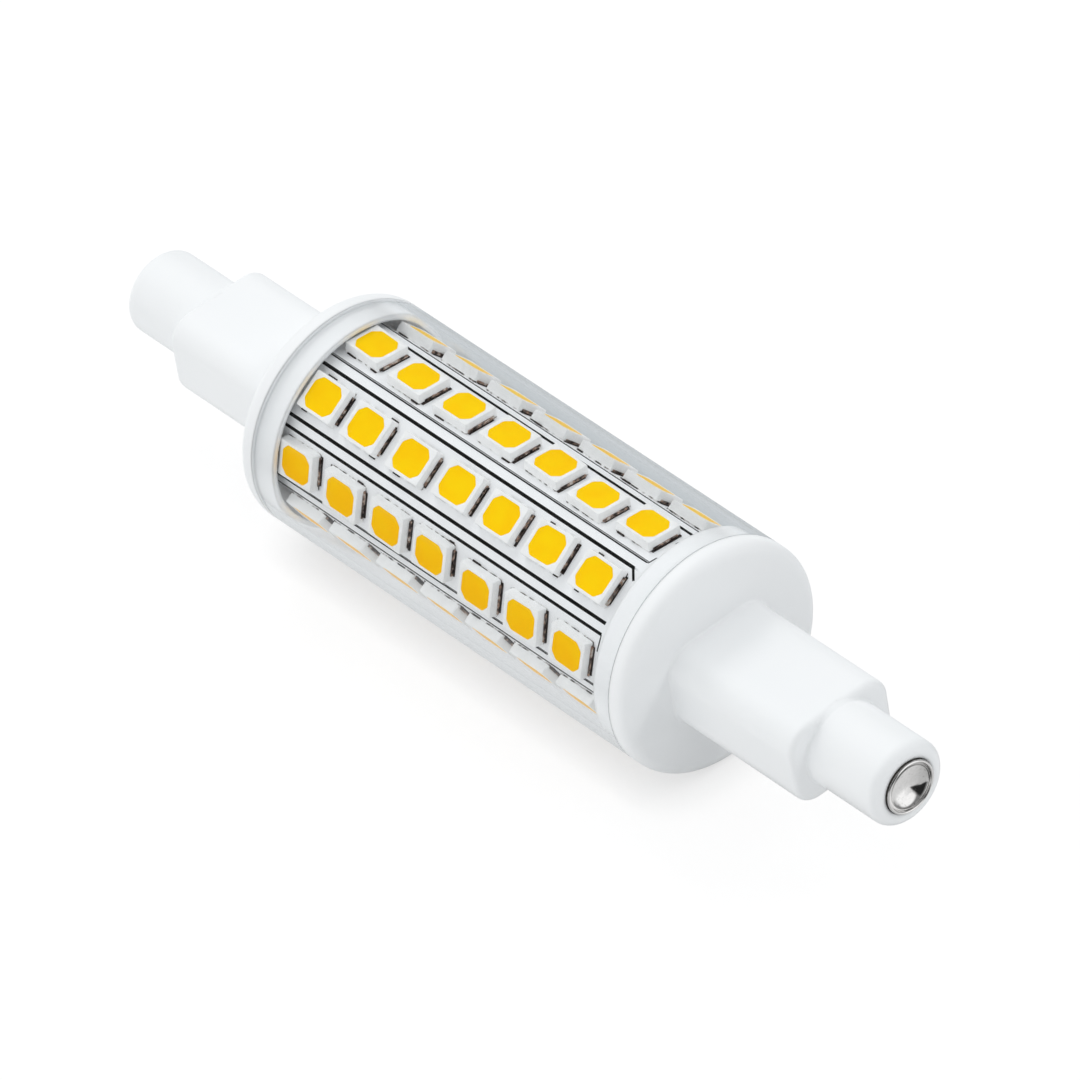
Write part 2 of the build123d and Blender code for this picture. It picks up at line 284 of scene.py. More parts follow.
def combine(tree, operation, *values):
    """The result of an operation on one or two sockets."""
    node = tree.nodes.new("ShaderNodeMath")
    node.operation = operation
    for value, socket in zip(values, node.inputs):
        tree.links.new(value, socket)
    return node.outputs[0]


def either(tree, first, second):
    """The larger of two factors."""
    return combine(tree, "MAXIMUM", first, second)


def both(tree, first, second):
    """The product of two factors."""
    return combine(tree, "MULTIPLY", first, second)


def axes(tree, vector):
    """The X, Y and Z of a vector, as three sockets."""
    node = tree.nodes.new("ShaderNodeSeparateXYZ")
    tree.links.new(vector, node.inputs["Vector"])
    return node.outputs


def along(tree, vector, direction):
    """How far a vector reaches along a direction."""
    node = tree.nodes.new("ShaderNodeVectorMath")
    node.operation = "DOT_PRODUCT"
    node.inputs[1].default_value = direction
    tree.links.new(vector, node.inputs[0])
    return node.outputs["Value"]


def length_of(tree, vector):
    """The length of a vector."""
    node = tree.nodes.new("ShaderNodeVectorMath")
    node.operation = "LENGTH"
    tree.links.new(vector, node.inputs[0])
    return node.outputs["Value"]


def turn_of(tree, vector):
    """Turn about Z of a vector: 0 at -X, 0.25 at -Y, 0.5 at +X, 0.75 at +Y."""
    node = tree.nodes.new("ShaderNodeTexGradient")
    node.gradient_type = "RADIAL"
    tree.links.new(vector, node.inputs["Vector"])
    return node.outputs["Fac"]


def softened(tree, radius):
    """The surface's normal with its corners rounded off to a radius in millimetres."""
    node = tree.nodes.new("ShaderNodeBevel")
    node.samples = BEVEL_SAMPLES
    node.inputs["Radius"].default_value = radius * MM
    return node.outputs["Normal"]


def bump(tree, shader, height, strength, depth, normal=None):
    """Surface relief from a height, so many millimetres deep."""
    node = tree.nodes.new("ShaderNodeBump")
    if normal:
        tree.links.new(normal, node.inputs["Normal"])
    node.inputs["Strength"].default_value = strength
    node.inputs["Distance"].default_value = depth * MM
    tree.links.new(height, node.inputs["Height"])
    tree.links.new(node.outputs["Normal"], shader.inputs["Normal"])


# Materials: grain levels at which a colour is darkest and palest, and a relief finer than the grain
GRAIN_DARK = 0.3
GRAIN_PALE = 0.7
RELIEF_STRENGTH = 0.3
RELIEF_FINER = 3


def two_tone(tree, grain, dark, pale):
    """A colour that goes from dark to pale with the grain."""
    return ramp(tree, grain, ((GRAIN_DARK, dark), (GRAIN_PALE, pale)))


def mottled(name, dark, pale, feature, roughness, relief, metallic=0.0):
    """A surface whose colour, gloss and relief vary a little over it."""
    material, tree, shader, coords = new_material(name)
    grain = noise(tree, coords, feature)
    tree.links.new(two_tone(tree, grain, dark, pale), shader.inputs["Base Color"])
    tree.links.new(spread(tree, grain, *roughness), shader.inputs["Roughness"])
    shader.inputs["Metallic"].default_value = metallic
    bump(tree, shader, noise(tree, coords, feature / RELIEF_FINER), RELIEF_STRENGTH, relief)
    return material


# White caps: clouds, colours outside and inside the cover (inside painted lighter, as painted light),
# the length over which they change, skin, grain and the rounding of corners
CAP_CLOUD = 6.0
CAP_OUTSIDE_TONE = ((0.885, 0.898, 0.905), (0.90, 0.908, 0.914))
CAP_UNDER_COVER_PAINTED_LIGHT = ((0.955, 0.963, 0.968), (0.965, 0.97, 0.975))
CAP_CHANGE = 0.1
CAP_SKIN = 0.5
CAP_ROUGHNESS = (0.3, 0.42)
CAP_IOR = 1.48
CAP_GRAIN = 0.12
CAP_GRAIN_STRENGTH = 0.15
CAP_GRAIN_DEPTH = 0.004
CAP_CORNER = 0.35


def cap_plastic(name, corner=0.0):
    """White moulded plastic with a satin skin, painted lighter where the cover hides it, as painted
    light against the shade in there.
    """
    material, tree, shader, coords = new_material(name)
    cloud = noise(tree, coords, CAP_CLOUD)
    # Painted light: the plastic under the cover is coloured lighter than outside it, to lift the shade
    # there
    outside_tone = two_tone(tree, cloud, *CAP_OUTSIDE_TONE)
    clean = two_tone(tree, cloud, *CAP_UNDER_COVER_PAINTED_LIGHT)
    from_middle = combine(tree, "ABSOLUTE", axes(tree, coords)["X"])
    cover_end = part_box("clear_cover")[1].x
    outside = between(tree, from_middle, cover_end - CAP_CHANGE * MM, cover_end)
    tree.links.new(tint(tree, outside, clean, outside_tone), shader.inputs["Base Color"])
    skin = noise(tree, coords, CAP_SKIN)
    tree.links.new(spread(tree, skin, *CAP_ROUGHNESS), shader.inputs["Roughness"])
    shader.inputs["IOR"].default_value = CAP_IOR
    normal = softened(tree, corner) if corner else None
    bump(tree, shader, noise(tree, coords, CAP_GRAIN), CAP_GRAIN_STRENGTH, CAP_GRAIN_DEPTH, normal)
    return material


# Clear cover: haze, and the tint that a long way through its wall takes on
COVER_IOR = 1.5
COVER_HAZE = 12.0
COVER_ROUGHNESS = (0.0, 0.012)
COVER_TINT = (0.75, 0.82, 0.86, 1.0)
COVER_DENSITY = 120.0


def cover_plastic():
    """Clear tube, a little grey where sight runs along its wall; lamps shine through it unbent."""
    material, tree, shader, coords = new_material("cover_plastic")
    output = tree.nodes["Material Output"]
    shader.inputs["Base Color"].default_value = (1.0, 1.0, 1.0, 1.0)
    shader.inputs["Transmission Weight"].default_value = 1.0
    shader.inputs["IOR"].default_value = COVER_IOR
    haze = noise(tree, coords, COVER_HAZE)
    tree.links.new(spread(tree, haze, *COVER_ROUGHNESS), shader.inputs["Roughness"])
    path = tree.nodes.new("ShaderNodeLightPath")
    clear = tree.nodes.new("ShaderNodeBsdfTransparent")
    mix = tree.nodes.new("ShaderNodeMixShader")
    through = either(tree, path.outputs["Is Shadow Ray"], path.outputs["Is Diffuse Ray"])
    tree.links.new(through, mix.inputs["Fac"])
    tree.links.new(shader.outputs["BSDF"], mix.inputs[1])
    tree.links.new(clear.outputs["BSDF"], mix.inputs[2])
    tree.links.new(mix.outputs["Shader"], output.inputs["Surface"])
    absorption = tree.nodes.new("ShaderNodeVolumeAbsorption")
    absorption.inputs["Color"].default_value = COVER_TINT
    absorption.inputs["Density"].default_value = COVER_DENSITY
    tree.links.new(absorption.outputs["Volume"], output.inputs["Volume"])
    return material


# Contact: specks of wear by grain level, and a slight ripple
CONTACT_SPECK = 0.16
CONTACT_SPECK_DETAIL = 6.0
CONTACT_SPECKS = (
    (0.27, (0.55, 0.54, 0.53)),
    (0.36, (0.87, 0.865, 0.86)),
    (0.7, (0.93, 0.925, 0.92)),
)
CONTACT_ROUGHNESS = (0.16, 0.06)
CONTACT_RIPPLE = 0.3
CONTACT_RIPPLE_DETAIL = 4.0
CONTACT_RIPPLE_STRENGTH = 0.04
CONTACT_RIPPLE_DEPTH = 0.004


def contact_metal():
    """Nickel-plated contact with a few fine specks of wear."""
    material, tree, shader, coords = new_material("contact_metal")
    shader.inputs["Metallic"].default_value = 1.0
    speck = noise(tree, coords, CONTACT_SPECK, CONTACT_SPECK_DETAIL)
    tree.links.new(ramp(tree, speck, CONTACT_SPECKS), shader.inputs["Base Color"])
    tree.links.new(spread(tree, speck, *CONTACT_ROUGHNESS), shader.inputs["Roughness"])
    ripple = noise(tree, coords, CONTACT_RIPPLE, CONTACT_RIPPLE_DETAIL)
    bump(tree, shader, ripple, CONTACT_RIPPLE_STRENGTH, CONTACT_RIPPLE_DEPTH)
    return material


# Phosphor: golden on the upper rows and amber on the lower, the amber painted shade for their grazing
# light, with a faint painted glow for the blue it turns yellow
PHOSPHOR_CLOUD = 1.6
PHOSPHOR_GOLDEN = ((1.0, 0.58, 0.001), (1.0, 0.65, 0.002))
PHOSPHOR_AMBER_PAINTED_SHADE = ((1.0, 0.50, 0.001), (1.0, 0.56, 0.002))
AMBER_BELOW = 1.0
GOLDEN_ABOVE = 6.0
PHOSPHOR_SKIN = 0.3
PHOSPHOR_ROUGHNESS = (0.5, 0.65)
PHOSPHOR_SPECULAR = 0.03
PHOSPHOR_GLOW_COLOUR = (1.0, 0.6, 0.005, 1.0)
PHOSPHOR_GLOW = 0.06
PHOSPHOR_GRAIN = 0.1
PHOSPHOR_GRAIN_STRENGTH = 0.1
PHOSPHOR_GRAIN_DEPTH = 0.003


def phosphor():
    """Yellow phosphor resin, clouded a little, with more amber on the lower rows as painted shade."""
    material, tree, shader, coords = new_material("phosphor")
    cloud = noise(tree, coords, PHOSPHOR_CLOUD)
    golden = two_tone(tree, cloud, *PHOSPHOR_GOLDEN)
    # Painted shade: the lower rows are coloured more amber for the deeper look they take on in grazing
    # light
    amber = two_tone(tree, cloud, *PHOSPHOR_AMBER_PAINTED_SHADE)
    height = between(tree, axes(tree, coords)["Z"], AMBER_BELOW * MM, GOLDEN_ABOVE * MM)
    tree.links.new(tint(tree, height, amber, golden), shader.inputs["Base Color"])
    skin = noise(tree, coords, PHOSPHOR_SKIN)
    tree.links.new(spread(tree, skin, *PHOSPHOR_ROUGHNESS), shader.inputs["Roughness"])
    shader.inputs["Specular IOR Level"].default_value = PHOSPHOR_SPECULAR
    shader.inputs["Emission Color"].default_value = PHOSPHOR_GLOW_COLOUR
    shader.inputs["Emission Strength"].default_value = PHOSPHOR_GLOW
    grain = noise(tree, coords, PHOSPHOR_GRAIN)
    bump(tree, shader, grain, PHOSPHOR_GRAIN_STRENGTH, PHOSPHOR_GRAIN_DEPTH)
    return material


# Leads: tones by grain level, drawn out a little across the lamp; black and brown tones are painted
# dark reflection, pale ones painted glints, copper the bare metal
LEAD_METALLIC = 0.6
LEAD_STREAK = 0.3
LEAD_STREAK_DETAIL = 5.0
LEAD_STRETCH = (1.0, 0.7, 0.7)
LEAD_TONES_AND_PAINTED_REFLECTION = (
    (0.36, (0.008, 0.006, 0.005)),
    (0.43, (0.07, 0.04, 0.03)),
    (0.49, (0.2, 0.18, 0.165)),
    (0.55, (0.36, 0.2, 0.13)),
    (0.64, (0.62, 0.58, 0.53)),
)
LEAD_ROUGHNESS = (0.5, 0.25)
LEAD_RELIEF_DEPTH = 0.02


def lead_metal():
    """Tinned leads with bare copper, in streaks of painted dark reflection and painted glints."""
    material, tree, shader, coords = new_material("lead_metal")
    shader.inputs["Metallic"].default_value = LEAD_METALLIC
    streak = noise(tree, coords, LEAD_STREAK, LEAD_STREAK_DETAIL, LEAD_STRETCH)
    # Painted reflection: black and brown streaks stand for dark surroundings that the metal mirrors,
    # the palest for glints
    tree.links.new(ramp(tree, streak, LEAD_TONES_AND_PAINTED_REFLECTION), shader.inputs["Base Color"])
    tree.links.new(spread(tree, streak, *LEAD_ROUGHNESS), shader.inputs["Roughness"])
    bump(tree, shader, streak, RELIEF_STRENGTH, LEAD_RELIEF_DEPTH)
    return material


# Foot of an LED package: tones by grain level, dark in dashes partly as painted contact shade and
# partly as lead edges
FOOT_STAIN = 0.5
FOOT_STAIN_DETAIL = 4.0
FOOT_DASHES_AND_PAINTED_SHADE = (
    (0.40, (0.02, 0.015, 0.012)),
    (0.44, (0.22, 0.19, 0.17)),
    (0.5, (0.62, 0.61, 0.6)),
    (0.56, (0.92, 0.92, 0.91)),
)
FOOT_ROUGHNESS = (0.4, 0.6)


def led_foot():
    """Foot of an LED package, dark in dashes: painted shade where it meets the board, and the edges of
    its leads.
    """
    material, tree, shader, coords = new_material("led_foot")
    stain = noise(tree, coords, FOOT_STAIN, FOOT_STAIN_DETAIL)
    tree.links.new(ramp(tree, stain, FOOT_DASHES_AND_PAINTED_SHADE), shader.inputs["Base Color"])
    tree.links.new(spread(tree, stain, *FOOT_ROUGHNESS), shader.inputs["Roughness"])
    return material


# Mottled finishes by slot: dark and pale colour, size of the grain, roughness, depth of the relief,
# and how metallic it is where that is not 0
FINISHES = {
    "board_white": ((0.91, 0.92, 0.93), (0.935, 0.94, 0.95), 1.5, (0.5, 0.65), 0.004),
    "led_body": ((0.91, 0.91, 0.9), (0.98, 0.98, 0.975), 0.6, (0.4, 0.55), 0.006),
    "driver_green": ((0.02, 0.12, 0.05), (0.04, 0.2, 0.08), 2.0, (0.3, 0.5), 0.01),
    "wire_white": ((0.74, 0.74, 0.72), (0.82, 0.82, 0.8), 1.0, (0.35, 0.5), 0.01),
    "resistor_body": ((0.2, 0.33, 0.42), (0.28, 0.42, 0.5), 0.8, (0.3, 0.45), 0.01),
    "sleeve_white": ((0.7, 0.69, 0.65), (0.8, 0.79, 0.75), 0.6, (0.5, 0.7), 0.02),
    "capacitor_can": ((0.55, 0.56, 0.58), (0.7, 0.71, 0.72), 0.4, (0.2, 0.35), 0.005, 1.0),
    "chip_black": ((0.012, 0.012, 0.014), (0.03, 0.03, 0.033), 0.4, (0.45, 0.65), 0.01),
    "wire_red": ((0.4, 0.02, 0.015), (0.55, 0.035, 0.025), 1.0, (0.35, 0.5), 0.01),
    "wire_black": ((0.015, 0.015, 0.015), (0.03, 0.03, 0.03), 1.0, (0.35, 0.5), 0.01),
}
MATERIALS = {slot: mottled(slot, *finish) for slot, finish in FINISHES.items()}
MATERIALS["clear_tube"] = cover_plastic()
MATERIALS["white_cap"] = cap_plastic("cap_plastic", CAP_CORNER)
MATERIALS["contact_metal"] = contact_metal()
MATERIALS["phosphor"] = phosphor()
MATERIALS["lead_metal"] = lead_metal()

# Materials of parts of pieces
CAP_BLEND = cap_plastic("cap_blend")
LED_FOOT = led_foot()
# Painted shade: the cover's ground ends are coloured grey for the dark line that shows at them
COVER_END = mottled("cover_end", (0.4, 0.43, 0.44), (0.52, 0.55, 0.56), 0.8, (0.6, 0.8), 0.01)
# Painted shadow: near black for the bars under the lead tabs and the lead edges along the packages'
# sides
LEAD_PAINTED_SHADE = mottled("lead_painted_shade", (0.004, 0.003, 0.003), (0.05, 0.03, 0.025), 0.3, (0.5, 0.8), 0.01)
# Painted shade: the contacts' outer sides are coloured near black for the shadow in the gap round them
CONTACT_GAP_SHADE = ((0.02, 0.018, 0.015), (0.09, 0.08, 0.07))
CONTACT_SIDE = mottled("contact_side", *CONTACT_GAP_SHADE, 0.25, (0.35, 0.6), 0.01, 0.5)
# Painted shade: the score lines are near black for the shadow in the board's narrow grooves and gaps
SCORE_PAINTED_SHADE = mottled("score_painted_shade", (0.001, 0.001, 0.001), (0.004, 0.004, 0.005), 0.5, (0.6, 0.8), 0.004)

for entry in frame["record"]["subparts"]:
    node = frame["nodes"][entry["node"]]
    node.data.materials.clear()
    node.data.materials.append(MATERIALS[entry["material_slot"]])

# Rows of LEDs round the folded board, each LED a little out of true
ROW_COUNT = 9
ROW_PHASE = 33.9
LEDS_PER_ROW = 7
PLACING_ERROR_ALONG = 0.1
PLACING_ERROR_ACROSS = 0.18
PLACING_TURN = 2.0

# LED package; the top of its wall is given as insets from length and width, and drops from its top
LED_LENGTH = 3.5
LED_WIDTH = 2.8
LED_HEIGHT = 0.76
LED_CORNER = 0.1
LED_FOOT_HEIGHT = 0.1
UPRIGHT_HEIGHT = 0.28
WALL_TOP = ((0.08, 0.05, 0.05), (0.12, 0.09, 0.012), (0.20, 0.17, 0.0))

# Its window: the pocket's wall as margins and drops from the package's top, and the resin's face
# as shares of the window and drops
WINDOW_LENGTH = 2.79
WINDOW_WIDTH = 2.33
WINDOW_CUT = 0.5
WINDOW_ROUND = 0.32
POCKET_WALL = ((0.06, 0.0), (0.0, 0.02), (-0.06, 0.3))
RESIN_MARGIN = -0.01
RESIN_FACE = ((1.0, 0.02), (0.93, 0.035), (0.75, 0.05), (0.4, 0.06))
RESIN_FOOT_MARGIN = -0.08
RESIN_FOOT_DROP = 0.28


def row_turn(row):
    """Turn of a row about the lamp's axis."""
    return Matrix.Rotation(math.radians(ROW_PHASE + row * 360 / ROW_COUNT), 4, "X")


def outward(row):
    """Direction in which a row's LEDs face."""
    return row_turn(row) @ Vector((0, 0, 1))


def row_top(row):
    """Height of a row's LED windows above the lamp's axis, in millimetres."""
    away = outward(row)
    points = frame["nodes"][f"led_windows_row_{row + 1}"].data.vertices
    return max(point.co.dot(away) for point in points) / MM


# Places on the board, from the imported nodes
BOARD_APOTHEM = row_top(0) - LED_HEIGHT
BOARD_START_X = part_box("led_board")[0].x / MM
FIRST_LED_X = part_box("led_windows_row_1")[0].x / MM + WINDOW_LENGTH / 2
LAST_LED_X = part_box("led_windows_row_1")[1].x / MM - WINDOW_LENGTH / 2
ROW_RUN = LAST_LED_X - FIRST_LED_X
LED_PLACES = [FIRST_LED_X + ROW_RUN * place / (LEDS_PER_ROW - 1) for place in range(LEDS_PER_ROW)]


def facet(row):
    """From the middle of a row's facet, with Z outward, to the part's frame."""
    return row_turn(row) @ Matrix.Translation((0, 0, BOARD_APOTHEM))


def placed_leds(row):
    """Where each LED of a row stands on its facet, a little out of true as soldered."""
    chance = random.Random(row)
    places = []
    for x in LED_PLACES:
        off_x = chance.uniform(-PLACING_ERROR_ALONG, PLACING_ERROR_ALONG)
        off_y = chance.uniform(-PLACING_ERROR_ACROSS, PLACING_ERROR_ACROSS)
        turn = Matrix.Rotation(math.radians(chance.uniform(-PLACING_TURN, PLACING_TURN)), 4, "Z")
        places.append(facet(row) @ Matrix.Translation((x + off_x, off_y, 0)) @ turn)
    return places


LED_ROWS = [placed_leds(row) for row in range(ROW_COUNT)]


def window_ring(margin, drop, share=1.0):
    """The window's outline, widened by a margin and scaled by a share, at a drop from the top."""
    length = (WINDOW_LENGTH + margin) * share
    width = (WINDOW_WIDTH + margin) * share
    return cut_ring(length, width, WINDOW_CUT * share, WINDOW_ROUND * share, LED_HEIGHT - drop)


def led_bodies(row):
    """White packages with softened edges, a foot darkened in dashes with painted shade, and a rounded
    pocket for the phosphor.
    """
    heights = (0.0, LED_FOOT_HEIGHT, UPRIGHT_HEIGHT)
    rings = [rounded_ring(LED_LENGTH, LED_WIDTH, LED_CORNER, height) for height in heights]
    for less_long, less_wide, drop in WALL_TOP:
        length = LED_LENGTH - less_long
        width = LED_WIDTH - less_wide
        rings.append(rounded_ring(length, width, LED_CORNER, LED_HEIGHT - drop))
    rings += [window_ring(margin, drop) for margin, drop in POCKET_WALL]

    def build(bm):
        for place in LED_ROWS[row]:
            loft(bm, rings, place)

    piece = mesh_piece(f"led_bodies_row_{row + 1}", build, MATERIALS["led_body"])
    away = outward(row)
    foot_top = BOARD_APOTHEM + LED_FOOT_HEIGHT
    # Painted shade: the band at each package's foot takes the darker foot colours
    second_material(piece, LED_FOOT, lambda face: face.center.dot(away) / MM < foot_top)
    return stands_for(piece, "led_body", f"led_packages_row_{row + 1}")


def led_phosphors(row):
    """Yellow resin in each pocket, sunk a little towards its middle."""
    rings = [window_ring(RESIN_FOOT_MARGIN, RESIN_FOOT_DROP)]
    rings += [window_ring(RESIN_MARGIN, drop, share) for share, drop in RESIN_FACE]

    def build(bm):
        for place in LED_ROWS[row]:
            loft(bm, rings, place)

    piece = mesh_piece(f"led_phosphors_row_{row + 1}", build, MATERIALS["phosphor"])
    return stands_for(piece, "phosphor", f"led_windows_row_{row + 1}")


# Lead plates: a tab at each end on a near-black bar of painted shadow, and edges that show along the
# sides, painted near black as shade.
# Pairs of numbers below are the least and the most of what varies from lead to lead
END_TAB_WIDTH = 2.5
END_TAB_REACH = LED_LENGTH / 2 + 0.2
END_TAB_ROOT = LED_LENGTH / 2 - 0.2
END_TAB_HEIGHT = 0.28
END_TAB_BEVEL = 0.05
TAB_SHORT = (0.03, 0.1)
TAB_CUT_LOW = (0, 0.35)
TAB_CUT_HIGH = (0, 0.2)
TAB_RISE = (0.7, 1.0)
TAB_FOOT_HEIGHT = 0.07
TAB_FOOT_BEVEL = 0.03
FOOT_CUT_LOW = (-0.1, 0.3)
FOOT_CUT_HIGH = (-0.3, 0.1)
SIDE_EDGE_ROOT = LED_WIDTH / 2 - 0.2
SIDE_EDGE_REACH = LED_WIDTH / 2 + 0.1
SIDE_EDGE_HEIGHT = 0.12
SIDE_EDGE_BEVEL = 0.02
SIDE_EDGE_RISE = (0.5, 1.0)
SIDE_EDGE_SPANS = ((-1.7, -0.3), (0.85, 1.72))
SHORTEST_SIDE_EDGE = 0.45
SHOWN_SIDE_EDGES = 0.75
BAR_CORNER_STEPS = 3
SEED_OF_LEADS = 100


def bar(bm, low, high, bevel, place):
    """A box between two corners, with its edges softened."""
    length = high[0] - low[0]
    width = high[1] - low[1]
    middle = Matrix.Translation(((low[0] + high[0]) / 2, (low[1] + high[1]) / 2, 0))
    rim = (length - bevel, width - bevel, bevel / 2)
    side = (length, width, bevel)
    levels = ((rim, low[2]), (side, low[2] + bevel / 2), (side, high[2] - bevel / 2), (rim, high[2]))
    rings = [rounded_ring(*outline, height, BAR_CORNER_STEPS) for outline, height in levels]
    loft(bm, rings, place @ middle)


def end_tabs(chance):
    """Corners of a package's two end tabs, each cut a little differently."""
    tabs = []
    for end in (-1, 1):
        ends = sorted((end * END_TAB_ROOT, end * (END_TAB_REACH - chance.uniform(*TAB_SHORT))))
        low = (ends[0], -END_TAB_WIDTH / 2 + chance.uniform(*TAB_CUT_LOW), TAB_FOOT_HEIGHT)
        side = END_TAB_WIDTH / 2 - chance.uniform(*TAB_CUT_HIGH)
        high = (ends[1], side, END_TAB_HEIGHT * chance.uniform(*TAB_RISE))
        tabs.append((low, high))
    return tabs


def side_edges(chance):
    """Corners of the stretches of lead that show along a package's sides."""
    edges = []
    for start, stop in SIDE_EDGE_SPANS:
        for side in (-1, 1):
            run = sorted(chance.uniform(start, stop) for _ in range(2))
            hidden = chance.random() > SHOWN_SIDE_EDGES
            if hidden or run[1] - run[0] < SHORTEST_SIDE_EDGE:
                continue
            sides = sorted((side * SIDE_EDGE_ROOT, side * SIDE_EDGE_REACH))
            top = SIDE_EDGE_HEIGHT * chance.uniform(*SIDE_EDGE_RISE)
            edges.append(((run[0], sides[0], 0.0), (run[1], sides[1], top)))
    return edges


def tab_shadow_bars(chance):
    """Corners of the near-black bars of painted shadow under a package's two end tabs."""
    shadow_bars = []
    for end in (-1, 1):
        ends = sorted((end * END_TAB_ROOT, end * END_TAB_REACH))
        low = (ends[0], -END_TAB_WIDTH / 2 + chance.uniform(*FOOT_CUT_LOW), 0.0)
        high = (ends[1], END_TAB_WIDTH / 2 + chance.uniform(*FOOT_CUT_HIGH), TAB_FOOT_HEIGHT)
        shadow_bars.append((low, high))
    return shadow_bars


def led_leads(row):
    """Lead plates of a row's packages, with their edges and the bars under their tabs painted near
    black as shade.
    """
    chance = random.Random(SEED_OF_LEADS + row)
    tabs = []
    edges = []
    shadow_bars = []
    for place in LED_ROWS[row]:
        tabs += [(low, high, place) for low, high in end_tabs(chance)]
        edges += [(low, high, place) for low, high in side_edges(chance)]
    for place in LED_ROWS[row]:
        shadow_bars += [(low, high, place) for low, high in tab_shadow_bars(chance)]

    def build(bm):
        for low, high, place in tabs:
            bar(bm, low, high, END_TAB_BEVEL, place)
        tab_faces = len(bm.faces)
        for low, high, place in edges:
            bar(bm, low, high, SIDE_EDGE_BEVEL, place)
        for low, high, place in shadow_bars:
            bar(bm, low, high, TAB_FOOT_BEVEL, place)
        # Painted shadow: side edges and the bars under the tabs take the near-black second material
        bm.faces.ensure_lookup_table()
        for face in bm.faces[tab_faces:]:
            face.material_index = 1

    piece = mesh_piece(f"led_tabs_row_{row + 1}", build, MATERIALS["lead_metal"])
    piece.data.materials.append(LEAD_PAINTED_SHADE)
    return stands_for(piece, "lead_metal", f"led_leads_row_{row + 1}")


for row in range(ROW_COUNT):
    led_bodies(row)
    led_phosphors(row)
    led_leads(row)

# Scores along both edges of each facet, filled near black as painted shade, and the lines that turn in
# at their +X end, also painted shade.
# The turned lines end at shares of half the facet's width
FOLD_STRIP = 0.82
SCORE_DEPTH = 0.12
SCORE_FLANK = 0.02
PAINTED_SHADE_LIFT = 0.006
BOLD_LINE = 0.25
PLAIN_LINE = 0.25
FINE_LINE = 0.06
FINE_LINE_GAP = 0.07
BOLD_TURN = 0.2
BOLD_TURN_TO = 0.64
BOLD_TURN_OVERLAP = BOLD_LINE / 4
BOLD_TURN_INSET = BOLD_LINE / 8
FINE_TURN = 0.1
FINE_TURN_BACK = 0.25
UPPER_FINE_TURN_TO = 0.3
LOWER_FINE_TURN_TO = -0.62
BOLD_LINE_END = 15.05
LINE_END = 15.6
PLAIN_FACET_EVERY = 3
HALF_BEND = math.pi / ROW_COUNT
FACET_HALF = BOARD_APOTHEM * math.tan(HALF_BEND) - FOLD_STRIP / 2 / math.cos(HALF_BEND)


def stroke(bm, start, end, width, place):
    """A thin flat stroke on a facet between two points (x, y)."""
    run = Vector((end[0] - start[0], end[1] - start[1]))
    side = Vector((-run.y, run.x)).normalized() * width / 2
    corners = [
        (start[0] - side.x, start[1] - side.y),
        (end[0] - side.x, end[1] - side.y),
        (end[0] + side.x, end[1] + side.y),
        (start[0] + side.x, start[1] + side.y),
    ]
    loft(bm, [[(x, y, height) for x, y in corners] for height in (0.0, PAINTED_SHADE_LIFT)], place)


def score_fill(bm, side, width, end, place):
    """Black filling of the groove at a facet's edge as painted shade, bent over the fold with it."""
    edge = side * FACET_HALF
    section = [
        (edge - side * width / 2, PAINTED_SHADE_LIFT),
        (edge, PAINTED_SHADE_LIFT),
        (edge + side * width / 2 * math.cos(HALF_BEND), PAINTED_SHADE_LIFT - width / 2 * math.sin(HALF_BEND)),
        (edge - side * SCORE_FLANK, -SCORE_DEPTH),
    ]
    loft(bm, [[(x, y, z) for y, z in section] for x in (BOARD_START_X, end)], place)


def bold_and_plain(bm, place):
    """A bold upper line that turns in at its end, and a plain lower one."""
    score_fill(bm, 1, BOLD_LINE, BOLD_LINE_END, place)
    turn_start = (BOLD_LINE_END - BOLD_TURN_OVERLAP, FACET_HALF - BOLD_TURN_INSET)
    stroke(bm, turn_start, (LINE_END, BOLD_TURN_TO * FACET_HALF), BOLD_TURN, place)
    score_fill(bm, -1, PLAIN_LINE, LINE_END, place)


def bold_and_fine(bm, place):
    """A bold upper line and a fine lower pair, each with a fine line that turns in at its end."""
    score_fill(bm, 1, BOLD_LINE, LINE_END, place)
    upper_end = (LINE_END - FINE_TURN_BACK, UPPER_FINE_TURN_TO * FACET_HALF)
    stroke(bm, (LINE_END, FACET_HALF), upper_end, FINE_TURN, place)
    score_fill(bm, -1, FINE_LINE, LINE_END, place)
    second = -FACET_HALF + FINE_LINE + FINE_LINE_GAP
    stroke(bm, (BOARD_START_X, second), (LINE_END, second), FINE_LINE, place)
    stroke(bm, (LINE_END, -FACET_HALF), (LINE_END, LOWER_FINE_TURN_TO * FACET_HALF), FINE_TURN, place)


def score_lines(row):
    """The near-black lines of one facet, painted shade of its grooves and gaps."""
    lines = bold_and_plain if row % PLAIN_FACET_EVERY == 0 else bold_and_fine
    piece = mesh_piece(f"score_lines_row_{row + 1}", lambda bm: lines(bm, facet(row)), SCORE_PAINTED_SHADE)
    return stands_for(piece, "board_white")


for row in range(ROW_COUNT):
    score_lines(row)

# Cover, with its ends told from its walls by how far their normals lean along the lamp
COVER_WALL = 0.5
COVER_CHAMFER = 0.05
COVER_SEGMENTS = 512
COVER_END_LEAN = 0.5


